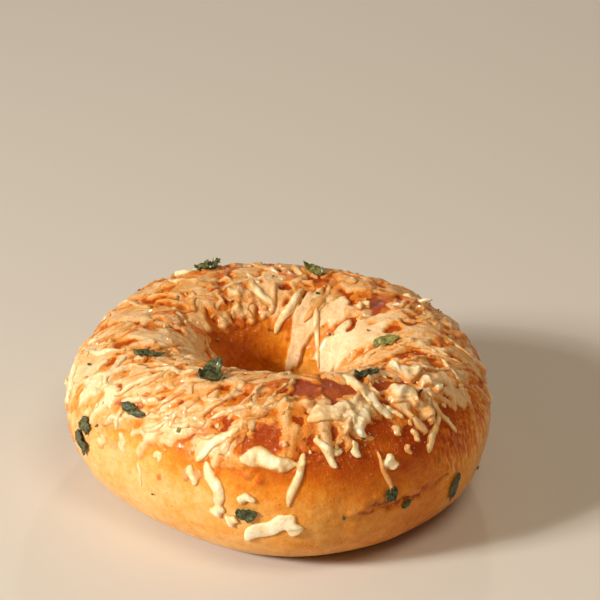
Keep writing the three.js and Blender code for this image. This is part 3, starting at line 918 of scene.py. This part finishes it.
FORMS = (
    (FLAKES, 0.85, 0.8, 0.35, 0.5, 0, 0, 0.8),
    (LONE_SHREDS, 0.8, 0.5, 0.8, 0.2, 0.3, 0, -0.8),
    (CLEAR_SHADED_SHREDS, 0.7, 0.5, 0.8, 0.2, 0.3, 0, -3.2),
    (CHUNKS, 1, 0.8, 0.6, 0.7, 0.4, 0, -0.6),
    (SOFT_CHUNKS, 0.65, 0.8, 0.8, 0.8, 0.6, 0, -2.2),
    (THIN_FLAKES, 0.8, 0.5, 0.35, 0.6, 0, 0, -2.6),
    (BIG_LUMPS, 1.7, 0.8, 0.6, 0.9, 0.4, 0, -7.5),
    (RIM_LUMPS, 0.95, 0.8, 0.9, 0.9, 0.6, 0, -4),
    (RIM_FLAKE, 0.7, 0.7, 0.6, 0.6, 0, 2.6, 1),
    (FLUSH_FLAKES, 0.22, 0.5, 0.5, 0.5, 0.2, 0, -0.8),
)
PALE_SEED = 18539              # gives the long flake low on the front its wavy outline

lone = [
    dict(zip(PIECE_KEYS + FORM_KEYS, row + tuple(form)))
    for rows, *form in FORMS
    for row in rows
]
pale = melted("cheese_pale", lone, 0.26, 7, np.random.default_rng(PALE_SEED))

# %% [markdown]
# ## Herb leaves
#
# The herb is a few cut leaves, dried and baked. Each starts as a small grid, laid on the crust like a shred.
# Sharp folds run across it and its edges curl up, which is what a drying leaf does. It then gets its
# thickness. The small flecks are crumbs of the same leaves, made from a grid with fewer faces.
# %% Herb leaves
LEAF_THICKNESS = 0.22
LEAF_BEND = 20
LEAF_CLOUDS = (1.1, 0.3)
LEAF_EDGE = ((0.24, 3.4, 1), (0.14, 11, 2))              # size, pace and shift between the two sides
LEAF_CREASES = ((1, 2.6, 1.6, 2), (0.6, 5.5, -3.8, 3))   # height, pace along and across, and its phase
LEAF_TAPER = (1.6, 0.02, 0.25)                           # how blunt, least width, how much narrower far out
CREASE_SHARE = 0.45
CURL_SHARE = 0.6
LEAF_CLEARANCE = 0.25          # millimetres above the bread
LEAVES = (                     # around, over, heading, length, width, rise, 1 for olive, rise of the far end
    (205.5, -3, -78, 6.8, 5.2, 0.7, 0.1), (207.5, 11.5, -60, 4.4, 4.2, 0.8, 0.3),
    (222, 39, -4, 8, 2.4, 0.8, 0.1), (202, 85, 40, 8.4, 3, 0.9, 0.2), (241, 88, 75, 6.4, 5.6, 1.8, 0.2, 3),
    (120, 65, 15, 4.2, 4.4, 2.1, 0.45), (116, 66, 75, 4, 4, 1.8, 0.3), (3, 112, -95, 6.6, 4.2, 0.5, 1),
    (311, 96, 8, 9, 3.4, 0.9, 0), (262, -6, 10, 5.4, 3.8, 0.7, 0.1), (298, 2, 30, 3.6, 2.8, 0.6, 0),
    (320, -11, -100, 8, 3, 0.6, 0.1), (303, -7, 20, 3, 1.6, 0.5, 0.1), (55, 28, -30, 6, 3.2, 0.8, 0.3),
    (135, 5, 65, 6.4, 3, 0.8, 0.2), (100, 20, 20, 5.6, 3, 0.8, 0.5), (76, 84, 160, 4.8, 2.8, 1, 0.7, 0.4),
    (79, 82, 10, 4.2, 3, 0.9, 1, 1.8),
)
LEAF_KEYS = ("around", "over", "heading", "length", "width", "rise", "olive", "tip")
FLECKS = 40
FLECK_ZONE = (-30.0, 150.0)
FLECK_LENGTH = (0.7, 1.6)
FLECK_WIDTH = (0.4, 0.8)
FLECK_RISE = 0.3
FLECK_SEED = 29


def lay_leaves(leaves, grid_points, draws):
    """The points of the grid for each leaf, folded, curled and with an uneven edge."""
    along, across, _ = grid_points.T
    phase = draws.uniform(0, 2 * np.pi, (len(leaves), 4)).T[..., None]
    lean = draws.uniform(-1, 1, (len(leaves), 2)).T[..., None]
    blunt, least, narrowing = LEAF_TAPER
    outline = np.sqrt(np.maximum(1 - np.abs(along) ** blunt, least)) * (1 - narrowing * along)
    ragged = 1
    for index, (size, pace, shift) in enumerate(LEAF_EDGE):
        ragged = ragged + size * np.sin(pace * along + phase[index] + shift * np.sign(across))
    side = across * column(leaves, "width") / 2 * outline * ragged
    creases = 0
    for height, pace, slant, index in LEAF_CREASES:
        creases = creases + height * np.abs(np.sin(pace * along + slant * across + phase[index]))
    curl = np.maximum(across * lean[0], 0) + np.maximum(along * lean[1], 0) ** 2
    lift = column(leaves, "rise") * (CREASE_SHARE * creases + CURL_SHARE * curl) + LEAF_CLEARANCE
    lift = lift + column(leaves, "tip") * np.maximum(along, 0) ** 2
    return beside_route(route_at(leaves, along), side, lift)


def make_herb(name, leaves, columns, rows, draws):
    """One piece from grids laid on the crust as leaves, crumpled and given their thickness."""
    bpy.ops.object.select_all(action="DESELECT")
    bpy.ops.mesh.primitive_grid_add(x_subdivisions=columns, y_subdivisions=rows, size=2)
    points, faces = take_over(bpy.context.active_object)
    herb = join_copies(name, lay_leaves(leaves, points, draws), faces)
    paint(herb, "olive", np.repeat(column(leaves, "olive")[:, 0], len(points)))
    apply_modifier(herb, "SUBSURF", levels=1, render_levels=1)
    roughen(herb, *LEAF_CLOUDS)
    apply_modifier(herb, "SOLIDIFY", thickness=LEAF_THICKNESS * MM, offset=0)
    bpy.ops.object.shade_smooth()
    print(name + ":", len(herb.data.polygons), "faces")
    return herb


def scattered_flecks():
    """Crumbs of herb, all over the top and a few on the side."""
    draw = draws_from(FLECK_SEED)
    crumbs = []
    for index in range(1, FLECKS + 1):
        around, over = evenly(index, FLECK_ZONE)
        crumbs.append({
            "around": around,
            "over": over,
            "heading": 360 * next(draw),
            "length": mixed(FLECK_LENGTH, next(draw) ** 2),
            "width": mixed(FLECK_WIDTH, next(draw)),
            "rise": FLECK_RISE,
            "olive": next(draw),
        })
    return crumbs


leaves = [dict(zip(LEAF_KEYS, row), bend=LEAF_BEND) for row in LEAVES]
herb = make_herb("herb_leaves", leaves, 20, 12, shapes)
flecks = make_herb("herb_flecks", scattered_flecks(), 5, 3, shapes)

# %% [markdown]
# ## Materials
#
# Colours are written as the eye reads them, in sRGB hex, and one function turns them into the linear values
# that the shader works with. One more adds a node with its settings and links, and gives back the output to
# use next.
# %% Helpers for materials
def colour(hex_code):
    """A linear RGBA colour from an sRGB hex code."""
    channels = [int(hex_code[i:i + 2], 16) / 255 for i in (1, 3, 5)]
    return [c / 12.92 if c <= 0.04045 else ((c + 0.055) / 1.055) ** 2.4 for c in channels] + [1]


def add(tree, kind, inputs=(), output=0, stops=(), **settings):
    """Adds a node, sets its properties, gives its inputs a value or a link, and returns one output."""
    node = tree.nodes.new("ShaderNode" + kind)
    for name, value in settings.items():
        setattr(node, name, value)
    for socket, value in dict(inputs).items():
        if isinstance(value, bpy.types.NodeSocket):
            tree.links.new(value, node.inputs[socket])
        else:
            node.inputs[socket].default_value = value
    for index, (position, hex_code) in enumerate(stops):
        elements = node.color_ramp.elements
        element = elements[index] if index < 2 else elements.new(position)
        element.position = position
        element.color = colour(hex_code)
    return node.outputs[output] if node.outputs else None


def new_material(name):
    """An empty material and its node tree."""
    material = bpy.data.materials.new(name)
    material.use_nodes = True
    material.node_tree.nodes.clear()
    return material, material.node_tree


def per_mm(size):
    """The scale of a texture whose features are that many millimetres across."""
    return 1 / (size * MM)


# %% [markdown]
# ## Melted cheese
#
# Grated cheese melts, spreads and browns. Thin cheese takes the orange of the crust and goes tan, thick
# cheese stays cream. It is a little translucent, which subsurface scattering gives, and a skin of fat makes
# it shine. Its colour goes by thickness, so one function gives it to the film on the bread and to the shreds.
# %% The colour of melted cheese
TOASTED = ((0, "#C25C12"), (0.18, "#D27C28"), (0.38, "#DE9C50"), (0.62, "#E6B983"), (1, "#F0D8AE"))
PALE = ((0, "#D08A44"), (0.25, "#E3B070"), (0.5, "#F0D09C"), (1, "#F9E8CA"))
FRECKLE = "#D88C4A"
FREQUENT = 0.45                # how strongly freckles show on toasted cheese
SELDOM = 0.12                  # and on pale cheese
BROWNING = (4, 1.1)            # millimetres across, and how far it shifts the colour
THICKNESS = (0.62, 1.65)       # from the first colour to the last
GRAIN = 0.8                    # millimetres


def browned(tree, place, thickness, stops, freckled):
    """The colour of cheese by its thickness, with brown patches and as many freckles as asked for."""
    size, shift = BROWNING
    patches = add(tree, "TexNoise", {"Vector": place, "Scale": per_mm(size), "Detail": 5, "Roughness": 0.62})
    shifted = add(tree, "Math", {0: patches, 1: shift, 2: thickness}, operation="MULTIPLY_ADD")
    part = add(tree, "MapRange", {"Value": shifted, "From Min": THICKNESS[0], "From Max": THICKNESS[1]})
    tone = add(tree, "ValToRGB", {"Fac": part}, stops=stops)
    fine = add(tree, "TexNoise", {"Vector": place, "Scale": per_mm(GRAIN), "Detail": 3})
    freckles = add(tree, "MapRange", {"Value": fine, "From Min": 0.56, "From Max": 0.72, "To Max": freckled})
    mix = {0: freckles, 6: tone, 7: colour(FRECKLE)}
    return add(tree, "Mix", mix, 2, data_type="RGBA", blend_type="MULTIPLY")


def melted_cheese(name, stops, base_thickness, tone_share, lift_share, freckled):
    """Melted grated cheese, with a thin shine of fat."""
    material, tree = new_material(name)
    place = add(tree, "TexCoord", output="Object")
    # cream holds paler cheese and the painted highlight at the glint on the front left
    lift, tone, cream = (
        add(tree, "Attribute", output="Fac", attribute_name=painted) for painted in ("lift", "tone", "cream")
    )
    cream = add(tree, "Math", {0: cream, 1: base_thickness}, operation="ADD")
    risen = add(tree, "Math", {0: lift, 1: lift_share, 2: cream}, operation="MULTIPLY_ADD")
    thickness = add(tree, "Math", {0: tone, 1: tone_share, 2: risen}, operation="MULTIPLY_ADD")
    grain = add(tree, "TexNoise", {"Vector": place, "Scale": per_mm(GRAIN), "Detail": 6, "Roughness": 0.7})
    fat = add(tree, "TexNoise", {"Vector": place, "Scale": per_mm(1), "Detail": 2})
    shader = add(tree, "BsdfPrincipled", {
        "Base Color": browned(tree, place, thickness, stops, freckled),
        "Normal": add(tree, "Bump", {"Height": grain, "Distance": 0.3 * MM, "Strength": 0.8}),
        "Coat Normal": add(tree, "Bump", {"Height": fat, "Distance": 0.3 * MM, "Strength": 0.6}),
        "Roughness": 0.4, "IOR": 1.45, "Specular IOR Level": 0.25,
        "Subsurface Weight": 0.6, "Subsurface Scale": 1.5 * MM, "Subsurface Radius": (1, 0.6, 0.28),
        "Coat Weight": 0.8, "Coat Roughness": 0.06,
    })
    add(tree, "OutputMaterial", {"Surface": shader})
    return material


def paint_lift(piece):
    """Stores how far each point of a topping stands above the bread, in millimetres."""
    tree = BVHTree.FromObject(bread, bpy.context.evaluated_depsgraph_get())
    lifts = []
    for vertex in piece.data.vertices:
        spot, normal, _, _ = tree.find_nearest(vertex.co)
        lifts.append((vertex.co - spot).dot(normal) / MM)
    paint(piece, "lift", lifts)
    print(piece.name, "stands up to", round(max(lifts), 2), "mm above the bread")


toasted_cheese = melted_cheese("toasted_cheese", TOASTED, 0.2, 0.26, 0.85, FREQUENT)
pale_cheese = melted_cheese("pale_cheese", PALE, 0.06, 0.12, 0.95, SELDOM)
for cheese, finish in ((soft, toasted_cheese), (upper, toasted_cheese), (pale, pale_cheese)):
    paint_lift(cheese)
    # paler cheese, with a painted highlight at the glint on the front left
    paint(cheese, "cream", spots(CREAM_AND_GLINT_PLACES, points_of(cheese) / MM))
    cheese.data.materials.append(finish)

# %% [markdown]
# ## Baked crust
#
# The crust of an enriched dough: golden and satin low on the side, where it baked slowly, and red brown and
# glossy on top, where it was nearest the heat and the fat of the cheese ran over it. The melted film is part
# of the same skin, so its colour is mixed in here, by the number that was painted for it.
# %% Baked crust
CRUST_TONES = (
    (0, "#EBBC7C"), (0.18, "#E5A048"), (0.33, "#DC8420"), (0.48, "#CA6B14"), (0.64, "#B9550C"),
    (0.85, "#A33E06"),
)
# painted shade along the crack
CRACK_SHADE_TONE = "#A23604"
SPECK_SPACING = 2.6            # millimetres between the brown specks
SPECK_SIZE = 0.26              # and how far across they are
MOTTLING = 0.62                # how far the fine mottling shifts the bake
UPRIGHT = (1, 1, 0.2)          # stretches the streaks along Z
STREAKS = 1.5                  # how far they shift the bake


def crust_colour(tree, place, baked):
    """Golden to red brown by the bake and painted light, with mottling, streaks, specks and painted shade in
    the crack.
    """
    mottle = add(tree, "TexNoise", {"Vector": place, "Scale": per_mm(2.2), "Detail": 7, "Roughness": 0.75})
    upright = add(tree, "Mapping", {"Vector": place, "Scale": UPRIGHT})
    streaks = add(tree, "TexNoise", {"Vector": upright, "Scale": per_mm(0.8), "Detail": 3})
    streaked, crack = (
        add(tree, "Attribute", output="Fac", attribute_name=painted) for painted in ("streaks", "crack")
    )
    streaks = add(tree, "Math", {0: streaks, 1: 0.5}, operation="SUBTRACT")
    streaks = add(tree, "Math", {0: streaks, 1: streaked}, operation="MULTIPLY")
    shifted = add(tree, "Math", {0: mottle, 1: MOTTLING, 2: baked}, operation="MULTIPLY_ADD")
    centred = add(tree, "Math", {0: shifted, 1: MOTTLING / 2}, operation="SUBTRACT")
    centred = add(tree, "Math", {0: streaks, 1: STREAKS, 2: centred}, operation="MULTIPLY_ADD")
    crust = add(tree, "ValToRGB", {"Fac": centred}, stops=CRUST_TONES)
    cells = add(tree, "TexVoronoi", {"Vector": place, "Scale": per_mm(SPECK_SPACING)})
    speck = SPECK_SIZE / SPECK_SPACING
    specks = {"Value": cells, "From Min": 0.5 * speck, "From Max": speck, "To Min": 0.6, "To Max": 0}
    # painted shade: the crust goes towards the dark red brown along the crack, where its groove lies in shade
    crack_shade_mask = add(tree, "Math", {0: mottle, 1: 2, 2: crack}, operation="MULTIPLY_ADD")
    dark = {"Value": crack_shade_mask, "From Min": 1.4, "From Max": 2.1, "To Max": 0.85}
    specks_and_crack_shade = {0: add(tree, "MapRange", specks), 1: add(tree, "MapRange", dark)}
    specks_and_crack_shade = add(tree, "Math", specks_and_crack_shade, operation="MAXIMUM")
    return add(tree, "Mix", {0: specks_and_crack_shade, 6: crust, 7: colour(CRACK_SHADE_TONE)}, 2, data_type="RGBA")


def film_colour(tree, place):
    """The colour of the cheese film by its thickness, and where it covers the crust."""
    # cream holds paler cheese and the painted highlight at the glint on the front left
    skin, sheet, strand, cream = (
        add(tree, "Attribute", output="Fac", attribute_name=painted)
        for painted in ("film", "sheet", "strand", "cream")
    )
    cream = add(tree, "Math", {0: cream, 1: 0.1}, operation="ADD")
    thickness = add(tree, "Math", {0: sheet, 1: 0.5, 2: cream}, operation="MULTIPLY_ADD")
    thickness = add(tree, "Math", {0: strand, 1: 1, 2: thickness}, operation="MULTIPLY_ADD")
    ragged = add(tree, "TexNoise", {"Vector": place, "Scale": per_mm(0.9), "Detail": 4})
    edge = add(tree, "Math", {0: ragged, 1: 0.8, 2: skin}, operation="MULTIPLY_ADD")
    cover = add(tree, "MapRange", {"Value": edge, "From Min": 0.6, "From Max": 1})
    return browned(tree, place, thickness, TOASTED, FREQUENT), cover


def crust_bump(tree, place, baked, cover):
    """Wrinkles with fine pores, and wrinkles with the bubbles that show in the layer of fat."""
    wrinkles = add(tree, "TexNoise", {"Vector": place, "Scale": per_mm(3), "Detail": 4, "Roughness": 0.6})
    slow = add(tree, "Bump", {"Height": wrinkles, "Distance": 0.7 * MM, "Strength": 0.5})
    pores = add(tree, "TexNoise", {"Vector": place, "Scale": per_mm(0.55), "Detail": 4, "Roughness": 0.65})
    bubbles = add(tree, "TexNoise", {"Vector": place, "Scale": per_mm(1.1), "Detail": 0.5})
    depth = {"Value": baked, "From Min": 0.15, "From Max": 0.7, "To Min": 0.35, "To Max": 1}
    depth = add(tree, "MapRange", depth)
    depth = add(tree, "Math", {0: cover, 1: -0.25, 2: depth}, operation="MULTIPLY_ADD")
    return [
        add(tree, "Bump", {"Height": height, "Distance": distance * MM, "Strength": depth, "Normal": slow})
        for height, distance in ((pores, 0.35), (bubbles, 0.6))
    ]


def baked_crust():
    """Baked bread crust with the film of melted cheese on it."""
    material, tree = new_material("baked_crust")
    place = add(tree, "TexCoord", output="Object")
    baked = add(tree, "Attribute", output="Fac", attribute_name="bake")
    cheese, cover = film_colour(tree, place)
    both = {0: cover, 6: crust_colour(tree, place, baked), 7: cheese}
    bump, wet = crust_bump(tree, place, baked, cover)
    gloss = {"Value": baked, "From Min": 0.1, "From Max": 0.7, "To Min": 0.55, "To Max": 0.4}
    shader = add(tree, "BsdfPrincipled", {
        "Base Color": add(tree, "Mix", both, 2, data_type="RGBA"),
        "Roughness": add(tree, "MapRange", gloss),
        "Normal": bump, "Coat Normal": wet,
        "IOR": 1.45, "Specular IOR Level": 0.05,
        "Subsurface Weight": 0.2, "Subsurface Scale": 0.9 * MM, "Subsurface Radius": (1, 0.45, 0.18),
        "Coat Weight": 0.4, "Coat Roughness": 0.04,
    })
    add(tree, "OutputMaterial", {"Surface": shader})
    return material


crust_finish = baked_crust()
bread.data.materials.append(crust_finish)
print("baked crust:", len(crust_finish.node_tree.nodes), "nodes")

# %% [markdown]
# ## Baked herb
#
# Cut parsley or spring onion that dried on the hot cheese. It is dark green, some pieces olive, with a net of
# paler veins and a little shine from the fat.
# %% The herb's finish
LEAF_TONES = ((0.35, "#1C2014"), (0.55, "#343A1E"), (0.72, "#5C5C28"), (0.95, "#9A8F3E"))
VEIN_TONE = "#7E8450"
VEIN_SPACING = 1.0             # millimetres


def baked_herb():
    """Dried and baked green herb, with a net of paler veins."""
    material, tree = new_material("baked_herb")
    place = add(tree, "TexCoord", output="Object")
    olive = add(tree, "Attribute", output="Fac", attribute_name="olive")
    blotch = add(tree, "TexNoise", {"Vector": place, "Scale": per_mm(1.2), "Detail": 4})
    tone = add(tree, "Math", {0: olive, 1: 0.34, 2: blotch}, operation="MULTIPLY_ADD")
    leaf = add(tree, "ValToRGB", {"Fac": tone}, stops=LEAF_TONES)
    net = {"Vector": place, "Scale": per_mm(VEIN_SPACING)}
    net = add(tree, "TexVoronoi", net, feature="DISTANCE_TO_EDGE")
    veins = {"Value": net, "From Min": 0.02, "From Max": 0.12, "To Min": 0.28, "To Max": 0}
    veined = {0: add(tree, "MapRange", veins), 6: leaf, 7: colour(VEIN_TONE)}
    grain = add(tree, "TexNoise", {"Vector": place, "Scale": per_mm(0.5), "Detail": 3})
    shader = add(tree, "BsdfPrincipled", {
        "Base Color": add(tree, "Mix", veined, 2, data_type="RGBA"),
        "Normal": add(tree, "Bump", {"Height": grain, "Distance": 0.25 * MM, "Strength": 0.8}),
        "Roughness": 0.5, "Specular IOR Level": 0.3, "Coat Weight": 0.3, "Coat Roughness": 0.15,
    })
    add(tree, "OutputMaterial", {"Surface": shader})
    return material


herb_finish = baked_herb()
for piece in (herb, flecks):
    piece.data.materials.append(herb_finish)
print("baked herb:", len(herb_finish.node_tree.nodes), "nodes")

# %% [markdown]
# ## The light and the floor
#
# One soft box low on the left models the relief, as the sun would in the morning. A small bright lamp beside
# it gives the sparkles in the fat. A weak one above the front and one behind on the right open the shadows,
# and the room itself gives a little warm light. The floor is pale paper.
# %% The light and the floor
LAMPS = (                      # name, around, above, metres away, metres across, watts, colour
    ("key", 208, 26, 1.3, 0.3, 19.5, (1, 0.95, 0.86)),
    ("sparkle", 211, 28, 1.3, 0.05, 2.5, (1, 0.97, 0.9)),
    ("fill", 300, 60, 0.9, 0.4, 2.6, (1, 0.82, 0.6)),
    ("rim", 84, 30, 0.9, 0.05, 0.8, (1, 0.9, 0.76)),
)
ROOM_LIGHT = (1, 0.75, 0.5, 1)
ROOM_STRENGTH = 0.15
PAPER = "#D2CDC6"


def area_light(name, around, above, distance, size, power, tint):
    """A soft box that looks at the bagel from an angle around and above it."""
    light = bpy.data.lights.new(name, "AREA")
    light.shape = "DISK"
    light.size = size
    light.energy = power
    light.color = tint
    lamp = bpy.data.objects.new(name, light)
    around, above = math.radians(around), math.radians(above)
    flat = math.cos(above)
    towards = Vector((flat * math.cos(around), flat * math.sin(around), math.sin(above)))
    lamp.location = AIM + towards * distance
    lamp.rotation_euler = towards.to_track_quat("Z", "Y").to_euler()
    bpy.context.collection.objects.link(lamp)


for lamp in LAMPS:
    area_light(*lamp)
world = bpy.data.worlds.new("studio")
world.use_nodes = True
room = world.node_tree.nodes["Background"].inputs
room["Color"].default_value = ROOM_LIGHT
room["Strength"].default_value = ROOM_STRENGTH
bpy.context.scene.world = world
bpy.context.scene.view_settings.view_transform = "Standard"

bpy.ops.object.select_all(action="DESELECT")
bpy.ops.mesh.primitive_plane_add(size=4, location=(0, 0, 0))
floor = bpy.context.active_object
floor.name = "floor"
paper, paper_tree = new_material("pale_paper")
sheen = add(paper_tree, "BsdfPrincipled", {"Base Color": colour(PAPER), "Roughness": 0.8})
add(paper_tree, "OutputMaterial", {"Surface": sheen})
floor.data.materials.append(paper)
print(len(LAMPS), "lamps and a floor of", round(floor.dimensions.x), "m")

# %% [markdown]
# ## Hand over
#
# Every piece rides on the bagel's one body. The bread stands for the imported solid, which is hidden.
# %% Hand over
SLOTS = {"crust": (bread,), "cheese": (soft, upper, pale), "herb": (herb, flecks)}
for slot, pieces in SLOTS.items():
    for piece in pieces:
        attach(piece, "root")
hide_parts("bagel")
